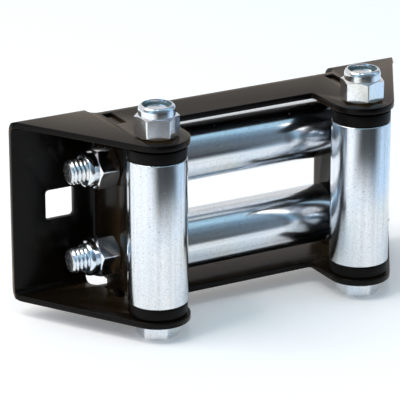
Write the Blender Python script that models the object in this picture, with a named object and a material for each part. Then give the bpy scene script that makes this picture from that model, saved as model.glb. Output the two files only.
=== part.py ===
"""Four-way roller fairlead for a winch rope.

One folded sheet bracket carries two upright rollers in its ears and two level
rollers between its side tabs. Each roller is a steel tube on two flanged nylon
bushings, and turns on a hex bolt held by a lock nut.

Frame: metres, +X along the level rollers, +Y towards the mounting faces, +Z up.
The origin is the middle of the part's box, at the level of the lowest bolt heads.
"""
import math

import bmesh
import bpy
from mathutils import Matrix, Vector

MM = 0.001

# Rollers
ROLLER_WALL = 2.2 * MM          # makes the roller 22 mm over its bushings' spigots
ROLLER_EDGE = 0.4 * MM
ROPE_WIDTH = 63.2 * MM          # clear between the upright rollers
ROPE_HEIGHT = 12.2 * MM         # clear between the level rollers
LEVEL_SETBACK = 6.0 * MM        # mounting face to the backs of the level rollers
CROSSING_GAP = 2.6 * MM         # level rollers' fronts to upright rollers' backs

# Bracket sheet
SHEET = 2.3 * MM                # 13 gauge steel
INNER_BEND = 2.2 * MM           # radius inside every fold
PLATE_WIDTH = 30.8 * MM         # flat of a mounting plate, beside the tab's fold
FLANGE_GAP = 4.35 * MM          # level roller to flange
TAB_OFFSET = 3.2 * MM           # tab's inner face outside the upright roller's axis
TAB_GAP = 1.5 * MM              # tab's front edge to upright roller
TAB_CORNER = 3.0 * MM
STRIP_BACK = 8.3 * MM           # mounting face to the middle strip's back edge
STRIP_WIDTH = 18.3 * MM
RELIEF_WIDTH = 1.6 * MM         # between a tab's fold and the end of a flange's fold
RELIEF_GAP = 3.0 * MM           # between a tab's edge and the flange's inner face
NOTCH_FILLET = 3.2 * MM
EAR_MARGIN = 0.9 * MM           # ear past the roller's face
EAR_FILLET = 1.0 * MM
TONGUE_LENGTH = 10.4 * MM
TONGUE_RECESS = 1.0 * MM        # tongue's tip below the flange's outer face
TONGUE_CORNER = 0.6 * MM
TONGUE_CLEARANCE = 0.75 * MM
SLOT_INSET = 19.0 * MM          # plate's outer edge to the middle of its square hole
SLOT_SIZE = 11.4 * MM
SLOT_CORNER = 1.2 * MM
FOLD_STEPS = 6

# Bushings
BUSHING_FLANGE = 4.2 * MM
BUSHING_STEP = 0.2 * MM         # bushing flange inside the tube's outer face
BUSHING_SPIGOT = 9.0 * MM
BUSHING_WALL = 3.45 * MM        # round the bolt, inside the tube
BUSHING_EDGE = 0.5 * MM
UPRIGHT_PLAY = 0.9 * MM         # above the upright rollers, which rest at the bottom
LEVEL_PLAY = 0.4 * MM           # at each end of the level rollers

# Bolts and lock nuts, 3/8 in
BOLT_DIAMETER = 9.5 * MM
BOLT_EDGE = 0.9 * MM
UPRIGHT_BOLT_SINKS = 1.2 * MM   # upright bolt's end inside its lock nut
LEVEL_BOLT_SHOWS = 5.9 * MM     # thread past the level lock nut
HEX_ACROSS = 14.3 * MM          # 9/16 in across flats
HEX_CHAMFER = 0.9 * MM
HEAD_HEIGHT = 6.0 * MM
NUT_HEIGHT = 11.6 * MM
NUT_HEX_HEIGHT = 7.9 * MM
COLLAR_DIAMETER = 13.4 * MM
COLLAR_ROUND = 1.3 * MM
COLLAR_LIP = 0.6 * MM
INSERT_DIAMETER = 11.6 * MM
INSERT_HEIGHT = 2.3 * MM

# Fits and facets
SEAT_GAP = 0.3 * MM             # between faces that seat on each other
RUNNING_FIT = 0.3 * MM          # radial, round every bolt and spigot
ROLLER_STEPS = 40
BUSHING_STEPS = 32
BOLT_STEPS = 24
NUT_STEPS = 32
ARC_STEPS = 6

# How each fastener happened to stop turning, as an angle of one of its corners
UPRIGHT_NUT_TURNS = {"left": 36.0, "right": 15.0}
UPRIGHT_HEAD_TURNS = {"left": 26.0, "right": 31.0}
LEVEL_NUT_TURNS = {"upper": 4.0, "lower": 13.5}
LEVEL_HEAD_TURNS = {"upper": 20.0, "lower": 48.0}

# Sizes that follow
OUTER_BEND = INNER_BEND + SHEET
BOLT_RADIUS = BOLT_DIAMETER / 2
BORE_RADIUS = BOLT_RADIUS + RUNNING_FIT
SPIGOT_RADIUS = BORE_RADIUS + BUSHING_WALL
TUBE_BORE = SPIGOT_RADIUS + RUNNING_FIT
ROLLER_RADIUS = TUBE_BORE + ROLLER_WALL
ROLLER_DIAMETER = 2 * ROLLER_RADIUS
EAR_RADIUS = ROLLER_RADIUS + EAR_MARGIN
HEX_CORNER = HEX_ACROSS / 2 / math.cos(math.radians(30))
UPRIGHT_PITCH = ROPE_WIDTH + ROLLER_DIAMETER
LEVEL_PITCH = ROPE_HEIGHT + ROLLER_DIAMETER
LEVEL_DEPTH = LEVEL_SETBACK + ROLLER_RADIUS
UPRIGHT_DEPTH = LEVEL_DEPTH + ROLLER_DIAMETER + CROSSING_GAP
OVERALL_DEPTH = UPRIGHT_DEPTH + EAR_RADIUS
TAB_SPREAD = UPRIGHT_PITCH + 2 * TAB_OFFSET
TAB_FRONT = UPRIGHT_DEPTH - ROLLER_RADIUS - TAB_GAP
STRIP_FRONT = STRIP_BACK + STRIP_WIDTH
PLATE_SPAN = TAB_SPREAD + 2 * (OUTER_BEND + PLATE_WIDTH)
SLOT_PITCH = PLATE_SPAN - 2 * SLOT_INSET
FLANGE_SPREAD = LEVEL_PITCH + ROLLER_DIAMETER + 2 * (FLANGE_GAP + SHEET)
UPRIGHT_BOLT_LENGTH = FLANGE_SPREAD + 2 * SEAT_GAP + NUT_HEIGHT - UPRIGHT_BOLT_SINKS
LEVEL_BOLT_LENGTH = TAB_SPREAD + 2 * (SHEET + SEAT_GAP) + NUT_HEIGHT + LEVEL_BOLT_SHOWS

# Places that follow
BACK_Y = OVERALL_DEPTH / 2
UPRIGHT_Y = BACK_Y - UPRIGHT_DEPTH
LEVEL_Y = BACK_Y - LEVEL_DEPTH
BRACKET_BOTTOM = HEAD_HEIGHT + SEAT_GAP
BRACKET_TOP = BRACKET_BOTTOM + FLANGE_SPREAD
MIDDLE_Z = (BRACKET_BOTTOM + BRACKET_TOP) / 2
TAB_INNER = TAB_SPREAD / 2
TAB_OUTER = TAB_INNER + SHEET
TAB_FOLD_X = TAB_INNER + OUTER_BEND
FLANGE_FOLD_X = TAB_FOLD_X + RELIEF_WIDTH
FOLD_Y = BACK_Y - OUTER_BEND
FOLD_RISE = FLANGE_SPREAD / 2 - OUTER_BEND
TAB_RISE = FLANGE_SPREAD / 2 - SHEET - RELIEF_GAP
SIDES = {"left": -1, "right": 1}
LEVELS = {"upper": 1, "lower": -1}


def make_material(name, colour, roughness, metallic):
    """A Principled finish: colour as linear RGB."""
    material = bpy.data.materials.new(name)
    material.use_nodes = True
    shader = material.node_tree.nodes["Principled BSDF"]
    shader.inputs["Base Color"].default_value = (*colour, 1.0)
    shader.inputs["Roughness"].default_value = roughness
    shader.inputs["Metallic"].default_value = metallic
    material.diffuse_color = (*colour, 1.0)
    return material


def make_object(name, mesh, material=None):
    piece = bpy.data.objects.new(name, mesh)
    bpy.context.collection.objects.link(piece)
    if material:
        mesh.materials.clear()
        mesh.materials.append(material)
    return piece


def make_cutter(name, mesh):
    cutter = make_object(name, mesh)
    cutter.hide_render = True
    cutter.display_type = "WIRE"
    return cutter


def cut(piece, cutter, operation="DIFFERENCE"):
    boolean = piece.modifiers.new(cutter.name, "BOOLEAN")
    boolean.operation = operation
    boolean.solver = "EXACT"
    boolean.object = cutter


def finish_mesh(name, bm, smooth=True):
    mesh = bpy.data.meshes.new(name)
    bm.to_mesh(mesh)
    bm.free()
    if smooth:
        mesh.shade_smooth()
        mesh.set_sharp_from_angle(angle=math.radians(35))
    return mesh


def arc(centre_x, centre_y, radius, start, end, steps=ARC_STEPS):
    """Points on an arc, both ends included, angles in degrees."""
    points = []
    for step in range(steps + 1):
        angle = math.radians(start + (end - start) * step / steps)
        points.append((centre_x + radius * math.cos(angle), centre_y + radius * math.sin(angle)))
    return points


def turned_mesh(name, profile, steps):
    """Spin a closed profile of (radius, height) points about the Z axis."""
    bm = bmesh.new()
    verts = [bm.verts.new((radius, 0.0, height)) for radius, height in profile]
    edges = [bm.edges.new((verts[i - 1], verts[i])) for i in range(len(verts))]
    bmesh.ops.spin(bm, geom=verts + edges, cent=(0, 0, 0), axis=(0, 0, 1),
                   angle=math.tau, steps=steps, use_merge=True, use_duplicate=False)
    bmesh.ops.remove_doubles(bm, verts=bm.verts, dist=1e-6)
    bmesh.ops.dissolve_degenerate(bm, edges=bm.edges, dist=1e-7)
    loose = [edge for edge in bm.edges if not edge.link_faces]
    bmesh.ops.delete(bm, geom=loose, context="EDGES")
    bmesh.ops.recalc_face_normals(bm, faces=bm.faces)
    return finish_mesh(name, bm)


def hex_bar_mesh(name, low, high):
    """A hexagon bar about the Z axis, with one corner on +X."""
    bm = bmesh.new()
    placed = Matrix.Translation((0, 0, (low + high) / 2)) @ Matrix.Rotation(math.radians(90), 4, "Z")
    bmesh.ops.create_cone(bm, cap_ends=True, segments=6, radius1=HEX_CORNER, radius2=HEX_CORNER,
                          depth=high - low, matrix=placed)
    bmesh.ops.recalc_face_normals(bm, faces=bm.faces)
    return finish_mesh(name, bm, smooth=False)


def diagonal():
    """The straight front edge of a right-hand flange, in plan.

    It leaves the plate's outer edge half way round the fold and touches the ear's arc.
    Returns its x at the fold's end and the angle, at the ear's centre, where it touches.
    """
    corner = Vector((PLATE_SPAN / 2, FOLD_Y + OUTER_BEND / 2))
    centre = Vector((UPRIGHT_PITCH / 2, UPRIGHT_Y))
    to_centre = centre - corner
    heading = math.atan2(to_centre.y, to_centre.x) + math.asin(EAR_RADIUS / to_centre.length)
    fold_x = corner.x + (FOLD_Y - corner.y) / math.tan(heading)
    touch = math.degrees(heading) + 90 - 360 * (heading > 0)
    return fold_x, touch


def flange_outline():
    """Plan of a flange from fold to ears: the right half, then the left half mirrored."""
    fold_x, touch = diagonal()
    ear_x = UPRIGHT_PITCH / 2
    ear_inner = ear_x - EAR_RADIUS
    strip_back = BACK_Y - STRIP_BACK
    strip_front = BACK_Y - STRIP_FRONT
    right = arc(FLANGE_FOLD_X - NOTCH_FILLET, strip_back + NOTCH_FILLET, NOTCH_FILLET, -90, 0)
    right += [(FLANGE_FOLD_X, FOLD_Y), (fold_x, FOLD_Y)]
    right += arc(ear_x, UPRIGHT_Y, EAR_RADIUS, touch, -180, steps=18)
    right += arc(ear_inner - EAR_FILLET, strip_front - EAR_FILLET, EAR_FILLET, 0, 90)
    return right + [(-x, y) for x, y in reversed(right)]


def tab_outline():
    """A side tab, as (y, z from mid height): the upper half, then the lower half mirrored."""
    front = BACK_Y - TAB_FRONT
    tip = FLANGE_SPREAD / 2 - TONGUE_RECESS
    back_side = LEVEL_Y + TONGUE_LENGTH / 2
    front_side = LEVEL_Y - TONGUE_LENGTH / 2
    upper = [(FOLD_Y, TAB_RISE), (back_side, TAB_RISE)]
    upper += [(back_side, tip - TONGUE_CORNER), (back_side - TONGUE_CORNER, tip)]
    upper += [(front_side + TONGUE_CORNER, tip), (front_side, tip - TONGUE_CORNER)]
    upper += [(front_side, TAB_RISE)]
    upper += arc(front + TAB_CORNER, TAB_RISE - TAB_CORNER, TAB_CORNER, 90, 180)
    return upper + [(y, -z) for y, z in reversed(upper)]


def plate_outline(side):
    """A mounting plate, as (x, z from mid height), narrowed beside the tab's fold."""
    outer = PLATE_SPAN / 2
    upper = [(outer, FOLD_RISE), (FLANGE_FOLD_X, FOLD_RISE)]
    upper += [(FLANGE_FOLD_X, TAB_RISE), (TAB_FOLD_X, TAB_RISE)]
    outline = upper + [(x, -z) for x, z in reversed(upper)]
    return [(side * x, z) for x, z in outline]


def circle_outline(centre_x, centre_y, radius):
    return arc(centre_x, centre_y, radius, 0, 360, steps=BOLT_STEPS)[:-1]


def slot_outline(centre_x, centre_y):
    """The slot that a tab's tongue passes through, seen in plan."""
    half_x = SHEET / 2 + TONGUE_CLEARANCE
    half_y = TONGUE_LENGTH / 2 + TONGUE_CLEARANCE
    corners = ((1, 1), (-1, 1), (-1, -1), (1, -1))
    return [(centre_x + sx * half_x, centre_y + sy * half_y) for sx, sy in corners]


def square_outline(centre_x, centre_y):
    """The square hole for a mounting bolt, with rounded corners."""
    straight = SLOT_SIZE / 2 - SLOT_CORNER
    outline = []
    for quarter, (sx, sy) in enumerate(((1, 1), (-1, 1), (-1, -1), (1, -1))):
        outline += arc(centre_x + sx * straight, centre_y + sy * straight, SLOT_CORNER,
                       90 * quarter, 90 * quarter + 90, steps=3)
    return outline


def add_flat(bm, loops, to_world):
    """A flat stretch of the skin: its outline is the first loop, the rest are its holes."""
    edges = []
    for loop in loops:
        verts = [bm.verts.new(to_world(*point)) for point in loop]
        edges += [bm.edges.new((verts[i - 1], verts[i])) for i in range(len(verts))]
    bmesh.ops.triangle_fill(bm, edges=edges, use_beauty=True)


def add_fold(bm, rows):
    """Quads between successive rows of two points."""
    for (a, b), (c, d) in zip(rows, rows[1:]):
        bm.faces.new([bm.verts.new(point) for point in (a, b, d, c)])


def add_flange(bm, level):
    z = MIDDLE_Z + level * FLANGE_SPREAD / 2
    loops = [flange_outline()]
    for side in SIDES.values():
        loops.append(circle_outline(side * UPRIGHT_PITCH / 2, UPRIGHT_Y, BORE_RADIUS))
        loops.append(slot_outline(side * (TAB_INNER + SHEET / 2), LEVEL_Y))
    add_flat(bm, loops, lambda x, y: (x, y, z))


def add_plate_and_tab(bm, side, turns):
    loops = [plate_outline(side), square_outline(side * SLOT_PITCH / 2, 0)]
    add_flat(bm, loops, lambda x, z: (x, BACK_Y, MIDDLE_Z + z))
    loops = [tab_outline()]
    for level in LEVELS.values():
        loops.append(circle_outline(LEVEL_Y, level * LEVEL_PITCH / 2, BORE_RADIUS))
    add_flat(bm, loops, lambda y, z: (side * TAB_INNER, y, MIDDLE_Z + z))
    rows = []
    for turn in turns:
        x = side * (TAB_FOLD_X - OUTER_BEND * math.sin(turn))
        y = FOLD_Y + OUTER_BEND * math.cos(turn)
        rows.append(((x, y, MIDDLE_Z - TAB_RISE), (x, y, MIDDLE_Z + TAB_RISE)))
    add_fold(bm, rows)


def add_flange_fold(bm, side, level, turns):
    fold_x, _ = diagonal()
    rows = []
    for turn in turns:
        y = FOLD_Y + OUTER_BEND * math.cos(turn)
        along = min((y - FOLD_Y) / (OUTER_BEND / 2), 1)
        edge_x = fold_x + (PLATE_SPAN / 2 - fold_x) * along
        z = MIDDLE_Z + level * (FOLD_RISE + OUTER_BEND * math.sin(turn))
        rows.append(((side * edge_x, y, z), (side * FLANGE_FOLD_X, y, z)))
    add_fold(bm, rows)


def bracket_skin():
    """The bracket's outer skin: plates, folds, flanges and tabs, before it gets its thickness."""
    bm = bmesh.new()
    turns = [math.pi / 2 * step / FOLD_STEPS for step in range(FOLD_STEPS + 1)]
    for level in LEVELS.values():
        add_flange(bm, level)
    for side in SIDES.values():
        add_plate_and_tab(bm, side, turns)
        for level in LEVELS.values():
            add_flange_fold(bm, side, level, turns)
    bmesh.ops.remove_doubles(bm, verts=bm.verts, dist=1e-6)
    bmesh.ops.recalc_face_normals(bm, faces=bm.faces)
    plate = max(bm.faces, key=lambda face: face.calc_center_median().y)
    if plate.normal.y < 0:
        bmesh.ops.reverse_faces(bm, faces=bm.faces)
    return finish_mesh("bracket", bm)


def make_bracket(material):
    bracket = make_object("bracket", bracket_skin(), material)
    wall = bracket.modifiers.new("sheet", "SOLIDIFY")
    wall.thickness = SHEET
    wall.offset = -1
    wall.use_even_offset = True
    wall.use_quality_normals = True


def tube_mesh(name, length):
    outer = ROLLER_RADIUS
    half = length / 2
    edge = ROLLER_EDGE
    profile = [(TUBE_BORE, -half), (outer - edge, -half), (outer, edge - half)]
    profile += [(outer, half - edge), (outer - edge, half), (TUBE_BORE, half)]
    return turned_mesh(name, profile, ROLLER_STEPS)


def bushing_mesh():
    """Flange from 0 to its thickness, then the spigot that enters the tube."""
    flange = ROLLER_RADIUS - BUSHING_STEP
    spigot = SPIGOT_RADIUS
    top = BUSHING_FLANGE + BUSHING_SPIGOT
    edge = BUSHING_EDGE
    profile = [(BORE_RADIUS, 0), (flange - edge, 0), (flange, edge), (flange, BUSHING_FLANGE)]
    profile += [(spigot, BUSHING_FLANGE), (spigot, top - edge), (spigot - edge, top)]
    profile += [(BORE_RADIUS, top)]
    return turned_mesh("bushing", profile, BUSHING_STEPS)


def bolt_mesh(name, length):
    """Turned blank of a bolt: the head hangs below 0, the shank rises to its length."""
    rim = HEX_ACROSS / 2 - HEX_CHAMFER / 2
    corner = HEX_CORNER + HEX_CHAMFER
    slope = (corner - rim) * math.tan(math.radians(30))
    shoulder = SEAT_GAP
    profile = [(0, -HEAD_HEIGHT), (rim, -HEAD_HEIGHT), (corner, slope - HEAD_HEIGHT)]
    profile += [(corner, -shoulder), (rim, -shoulder), (rim, 0), (BOLT_RADIUS, 0)]
    profile += [(BOLT_RADIUS, length - BOLT_EDGE), (BOLT_RADIUS - BOLT_EDGE, length), (0, length)]
    return turned_mesh(name, profile, BOLT_STEPS)


def nut_mesh():
    """Turned blank of a lock nut: hexagon below, round collar above, groove for the insert."""
    rim = HEX_ACROSS / 2 - HEX_CHAMFER / 2
    corner = HEX_CORNER + HEX_CHAMFER
    slope = (corner - rim) * math.tan(math.radians(30))
    collar = COLLAR_DIAMETER / 2
    groove = INSERT_DIAMETER / 2 + RUNNING_FIT
    roof = NUT_HEIGHT - COLLAR_LIP
    floor = roof - INSERT_HEIGHT - 2 * SEAT_GAP
    profile = [(BORE_RADIUS, 0), (rim, 0), (corner, slope), (corner, NUT_HEX_HEIGHT - slope)]
    profile += [(rim, NUT_HEX_HEIGHT), (collar, NUT_HEX_HEIGHT)]
    profile += arc(collar - COLLAR_ROUND, NUT_HEIGHT - COLLAR_ROUND, COLLAR_ROUND, 0, 75, 3)
    profile += [(groove - COLLAR_LIP, NUT_HEIGHT), (groove - COLLAR_LIP, roof), (groove, roof)]
    profile += [(groove, floor), (BORE_RADIUS, floor)]
    return turned_mesh("lock_nut", profile, NUT_STEPS)


def insert_mesh():
    outer = INSERT_DIAMETER / 2
    profile = [(BORE_RADIUS, 0), (outer, 0), (outer, INSERT_HEIGHT), (BORE_RADIUS, INSERT_HEIGHT)]
    return turned_mesh("nylon_insert", profile, BOLT_STEPS)


def place(piece, location, rotation):
    piece.location = location
    piece.rotation_euler = rotation


def make_hexed(name, blank, hex_bar, material, location, rotation):
    """A fastener: its turned blank, milled to a hexagon."""
    piece = make_object(name, blank, material)
    place(piece, location, rotation)
    bar = make_cutter(name + "_hex", hex_bar)
    place(bar, location, rotation)
    cut(piece, bar, "INTERSECT")


def make_roller(name, axis_point, axis_turn, low, high, ends, tube, bushing, finishes):
    """A tube and two bushings on an empty that stands on the roller's own axis.

    low and high are the outer faces of the two bushing flanges, along the axis.
    """
    spindle = bpy.data.objects.new(name, None)
    bpy.context.collection.objects.link(spindle)
    place(spindle, axis_point, axis_turn)
    body = make_object(name + "_tube", tube, finishes["zinc"])
    body.parent = spindle
    body.location = (0, 0, (low + high) / 2)
    for end, height, flip in ((ends[0], low, 0), (ends[1], high, math.pi)):
        bush = make_object(f"{name}_{end}_bushing", bushing, finishes["bushing"])
        bush.parent = spindle
        place(bush, (0, 0, height), (flip, 0, 0))


def main():
    for old in list(bpy.data.objects):
        bpy.data.objects.remove(old, do_unlink=True)
    finishes = {
        "powder": make_material("black_powder_coat", (0.012, 0.011, 0.011), 0.28, 0.0),
        "zinc": make_material("bright_zinc_tube", (0.72, 0.74, 0.76), 0.22, 1.0),
        "bushing": make_material("black_nylon", (0.014, 0.014, 0.015), 0.45, 0.0),
        "bolt": make_material("zinc_bolt", (0.66, 0.68, 0.72), 0.27, 1.0),
        "nut": make_material("zinc_lock_nut", (0.68, 0.72, 0.78), 0.24, 1.0),
        "insert": make_material("nylon_insert", (0.10, 0.16, 0.17), 0.5, 0.0),
    }
    make_bracket(finishes["powder"])

    upright_low = SHEET + SEAT_GAP - FLANGE_SPREAD / 2
    upright_high = FLANGE_SPREAD / 2 - SHEET - UPRIGHT_PLAY
    level_high = TAB_INNER - LEVEL_PLAY
    ends_taken = 2 * (BUSHING_FLANGE + SEAT_GAP)
    upright_tube = tube_mesh("upright_tube", upright_high - upright_low - ends_taken)
    level_tube = tube_mesh("level_tube", 2 * level_high - ends_taken)
    bushing = bushing_mesh()
    nut = nut_mesh()
    insert = insert_mesh()
    insert_rise = NUT_HEIGHT - COLLAR_LIP - SEAT_GAP - INSERT_HEIGHT
    nut_bar = hex_bar_mesh("nut_bar", -SHEET, NUT_HEIGHT + SHEET)

    upright_bolt = bolt_mesh("upright_bolt", UPRIGHT_BOLT_LENGTH)
    upright_bar = hex_bar_mesh("upright_bar", -HEAD_HEIGHT - SHEET, UPRIGHT_BOLT_LENGTH + SHEET)
    for side, sign in SIDES.items():
        x = sign * UPRIGHT_PITCH / 2
        make_roller(f"{side}_upright_roller", (x, UPRIGHT_Y, MIDDLE_Z), (0, 0, 0), upright_low,
                    upright_high, ("bottom", "top"), upright_tube, bushing, finishes)
        head_turn = (0, 0, math.radians(UPRIGHT_HEAD_TURNS[side]))
        nut_turn = (0, 0, math.radians(UPRIGHT_NUT_TURNS[side]))
        nut_z = BRACKET_TOP + SEAT_GAP
        make_hexed(f"{side}_upright_bolt", upright_bolt, upright_bar, finishes["bolt"],
                   (x, UPRIGHT_Y, HEAD_HEIGHT), head_turn)
        make_hexed(f"{side}_upright_lock_nut", nut, nut_bar, finishes["nut"],
                   (x, UPRIGHT_Y, nut_z), nut_turn)
        ring = make_object(f"{side}_upright_nylon_insert", insert, finishes["insert"])
        place(ring, (x, UPRIGHT_Y, nut_z + insert_rise), nut_turn)

    level_bolt = bolt_mesh("level_bolt", LEVEL_BOLT_LENGTH)
    level_bar = hex_bar_mesh("level_bar", -HEAD_HEIGHT - SHEET, LEVEL_BOLT_LENGTH + SHEET)
    for level, sign in LEVELS.items():
        z = MIDDLE_Z + sign * LEVEL_PITCH / 2
        make_roller(f"{level}_level_roller", (0, LEVEL_Y, z), (0, math.radians(90), 0), -level_high,
                    level_high, ("left", "right"), level_tube, bushing, finishes)
        leftward = math.radians(-90)
        head_turn = Matrix.Rotation(leftward, 4, "Y") @ Matrix.Rotation(
            math.radians(LEVEL_HEAD_TURNS[level]), 4, "Z")
        nut_turn = Matrix.Rotation(leftward, 4, "Y") @ Matrix.Rotation(
            math.radians(90 + LEVEL_NUT_TURNS[level]), 4, "Z")
        nut_x = -TAB_OUTER - SEAT_GAP
        make_hexed(f"{level}_level_bolt", level_bolt, level_bar, finishes["bolt"],
                   (TAB_OUTER + SEAT_GAP, LEVEL_Y, z), head_turn.to_euler())
        make_hexed(f"{level}_level_lock_nut", nut, nut_bar, finishes["nut"],
                   (nut_x, LEVEL_Y, z), nut_turn.to_euler())
        ring = make_object(f"{level}_level_nylon_insert", insert, finishes["insert"])
        place(ring, (nut_x - insert_rise, LEVEL_Y, z), nut_turn.to_euler())


main()
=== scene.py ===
# %% [markdown]
# # Dressing a four-way roller fairlead
# The solids of the fairlead are already drawn at their real size. This lesson gives
# them the looks: rounded powder coated edges, bright zinc plate, rolled threads,
# moulded bushings and the light they are seen in. Everything is in metres, and every
# piece is fitted to the solid that it stands for.

# %% Load the model
import math
import bmesh
import bpy
from mathutils import Matrix, Vector


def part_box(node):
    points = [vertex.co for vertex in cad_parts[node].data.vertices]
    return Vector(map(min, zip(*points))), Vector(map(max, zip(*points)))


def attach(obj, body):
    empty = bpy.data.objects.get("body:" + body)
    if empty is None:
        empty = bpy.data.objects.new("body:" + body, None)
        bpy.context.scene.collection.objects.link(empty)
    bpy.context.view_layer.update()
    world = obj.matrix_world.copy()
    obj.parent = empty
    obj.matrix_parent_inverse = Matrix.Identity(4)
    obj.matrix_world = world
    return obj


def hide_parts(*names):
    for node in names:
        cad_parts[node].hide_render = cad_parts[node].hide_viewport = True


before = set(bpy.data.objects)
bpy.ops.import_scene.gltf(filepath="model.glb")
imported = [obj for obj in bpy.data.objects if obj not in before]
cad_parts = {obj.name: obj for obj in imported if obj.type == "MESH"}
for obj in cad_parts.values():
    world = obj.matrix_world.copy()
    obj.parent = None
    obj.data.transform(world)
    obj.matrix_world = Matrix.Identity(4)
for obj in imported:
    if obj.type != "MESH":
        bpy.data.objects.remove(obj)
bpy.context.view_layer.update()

# %% [markdown]
# ## Small helpers for working by hand, in code
# Modelling operators act on whatever is selected, so each step first deselects
# everything, then picks faces or edges by where they are or where they point. A piece
# is modelled upright round the Z axis, where its sizes are easy to read, and then its
# place is applied, so that the finished object sits at the origin with its place in
# its mesh.

# %% Selecting, editing and placing
MM = 0.001
TINY = 0.01 * MM


def only(piece):
    """Leave one object selected and active, in object mode."""
    if bpy.context.object and bpy.context.object.mode != "OBJECT":
        bpy.ops.object.mode_set(mode="OBJECT")
    bpy.ops.object.select_all(action="DESELECT")
    piece.select_set(True)
    bpy.context.view_layer.objects.active = piece
    return piece


def begin(piece, kind="FACE"):
    """Open a piece for editing with nothing selected."""
    only(piece)
    bpy.ops.object.mode_set(mode="EDIT")
    bpy.ops.mesh.select_mode(type=kind)
    bpy.ops.mesh.select_all(action="DESELECT")
    return piece


def pick(piece, kind, test):
    """In edit mode, select the faces, edges or vertices that pass a test."""
    bpy.ops.mesh.select_mode(type=kind)
    bpy.ops.mesh.select_all(action="DESELECT")
    bm = bmesh.from_edit_mesh(piece.data)
    items = {"FACE": bm.faces, "EDGE": bm.edges, "VERT": bm.verts}[kind]
    found = 0
    for item in items:
        if test(item):
            item.select_set(True)
            found += 1
    bm.select_flush_mode()
    bmesh.update_edit_mesh(piece.data)
    return found


def end(piece):
    """Close the edit with clean normals."""
    bpy.ops.mesh.select_all(action="SELECT")
    bpy.ops.mesh.remove_doubles(threshold=TINY / 10)
    bpy.ops.mesh.normals_make_consistent(inside=False)
    bpy.ops.object.mode_set(mode="OBJECT")
    return piece


def radius_of(point):
    return math.hypot(point.x, point.y)


def rim_at(height, radius, slack=TINY):
    """A test for the edges of one circle round the Z axis."""
    def test(edge):
        return all(abs(v.co.z - height) < slack and abs(radius_of(v.co) - radius) < slack
                   for v in edge.verts)
    return test


def add_cylinder(name, radius, low, high, sides=96):
    bpy.ops.object.select_all(action="DESELECT")
    bpy.ops.mesh.primitive_cylinder_add(vertices=sides, radius=radius, depth=high - low,
                                        location=(0, 0, (low + high) / 2))
    piece = bpy.context.object
    piece.name = name
    bpy.ops.object.transform_apply(location=True, rotation=True, scale=True)
    return piece


def combine(piece, other, operation):
    """Boolean one piece with another, which is used up."""
    only(piece)
    boolean = piece.modifiers.new("combine", "BOOLEAN")
    boolean.operation = operation
    boolean.solver = "EXACT"
    boolean.object = other
    bpy.ops.object.modifier_apply(modifier=boolean.name)
    bpy.data.objects.remove(other, do_unlink=True)
    return piece


def copy_of(piece, name):
    """A copy with a mesh of its own."""
    only(piece)
    bpy.ops.object.duplicate()
    twin = bpy.context.object
    twin.name = name
    return twin


def settle(piece, place):
    """Apply a piece's place to its mesh."""
    only(piece)
    piece.matrix_world = place
    bpy.ops.object.transform_apply(location=True, rotation=True, scale=True)
    return piece


def smooth(piece, angle=32):
    only(piece)
    bpy.ops.object.shade_smooth_by_angle(angle=math.radians(angle))
    return piece


# %% [markdown]
# ## Node groups that several finishes share
# Zinc plate is never one even silver. The chromate over it drifts between blue and
# straw, and the plated steel has a fine spangle. Powder coat has orange peel, nylon
# has a moulded grain. Each effect is one node group with named sockets, so that every
# material can use it with values of its own.

# %% Building node groups
def new_group(name, inputs, outputs):
    """An empty shader node group. Sockets are (name, type, value) and (name, type)."""
    group = bpy.data.node_groups.new(name, "ShaderNodeTree")
    for label, kind, value in inputs:
        socket = group.interface.new_socket(label, in_out="INPUT", socket_type=kind)
        if value is not None:
            socket.default_value = value
    for label, kind in outputs:
        group.interface.new_socket(label, in_out="OUTPUT", socket_type=kind)
    start = group.nodes.new("NodeGroupInput")
    finish = group.nodes.new("NodeGroupOutput")
    return group, start, finish


def add_node(tree, kind, links=None, **settings):
    """A node with its settings, and its inputs linked or set by name or number."""
    node = tree.nodes.new(kind)
    for key, value in settings.items():
        setattr(node, key, value)
    for key, value in (links or {}).items():
        if isinstance(value, bpy.types.NodeSocket):
            tree.links.new(value, node.inputs[key])
        else:
            node.inputs[key].default_value = value
    return node


def math_node(tree, operation, first, second=0.0, third=0.0):
    return add_node(tree, "ShaderNodeMath", {0: first, 1: second, 2: third},
                    operation=operation).outputs[0]


def blend_colours(tree, factor, first, second):
    mix = add_node(tree, "ShaderNodeMix", {0: factor, 6: first, 7: second}, data_type="RGBA")
    return mix.outputs[2]


def spread(tree, value, low, high, to_low=0.0, to_high=1.0):
    """Map a range of a value to another, held at its ends."""
    node = add_node(tree, "ShaderNodeMapRange", {0: value, 1: low, 2: high, 3: to_low, 4: to_high},
                    clamp=True)
    return node.outputs[0]


# %% [markdown]
# ### A place on the tube
# The streaks of a drawn tube run along it, whichever way the tube points. The tubes
# carry a UV map that is wound round their axis, and this group turns it back into a
# place on the tube with its axis along Z. Noise read there has no seam, because the
# two ends of the map meet at the same place.

# %% Tube coordinates
UV_LENGTH = 0.1          # metres of tube in one unit of V


def make_tube_place():
    group, start, finish = new_group(
        "tube place", [("UV", "NodeSocketVector", None), ("Radius", "NodeSocketFloat", 0.011)],
        [("Place", "NodeSocketVector")])
    parts = add_node(group, "ShaderNodeSeparateXYZ", {0: start.outputs["UV"]})
    angle = math_node(group, "MULTIPLY", parts.outputs[0], math.tau)
    across = math_node(group, "MULTIPLY", math_node(group, "COSINE", angle), start.outputs["Radius"])
    beside = math_node(group, "MULTIPLY", math_node(group, "SINE", angle), start.outputs["Radius"])
    along = math_node(group, "MULTIPLY", parts.outputs[1], UV_LENGTH)
    place = add_node(group, "ShaderNodeCombineXYZ", {0: across, 1: beside, 2: along})
    group.links.new(place.outputs[0], finish.inputs["Place"])
    return group


TUBE_PLACE = make_tube_place()
print("group:", TUBE_PLACE.name)

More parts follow.
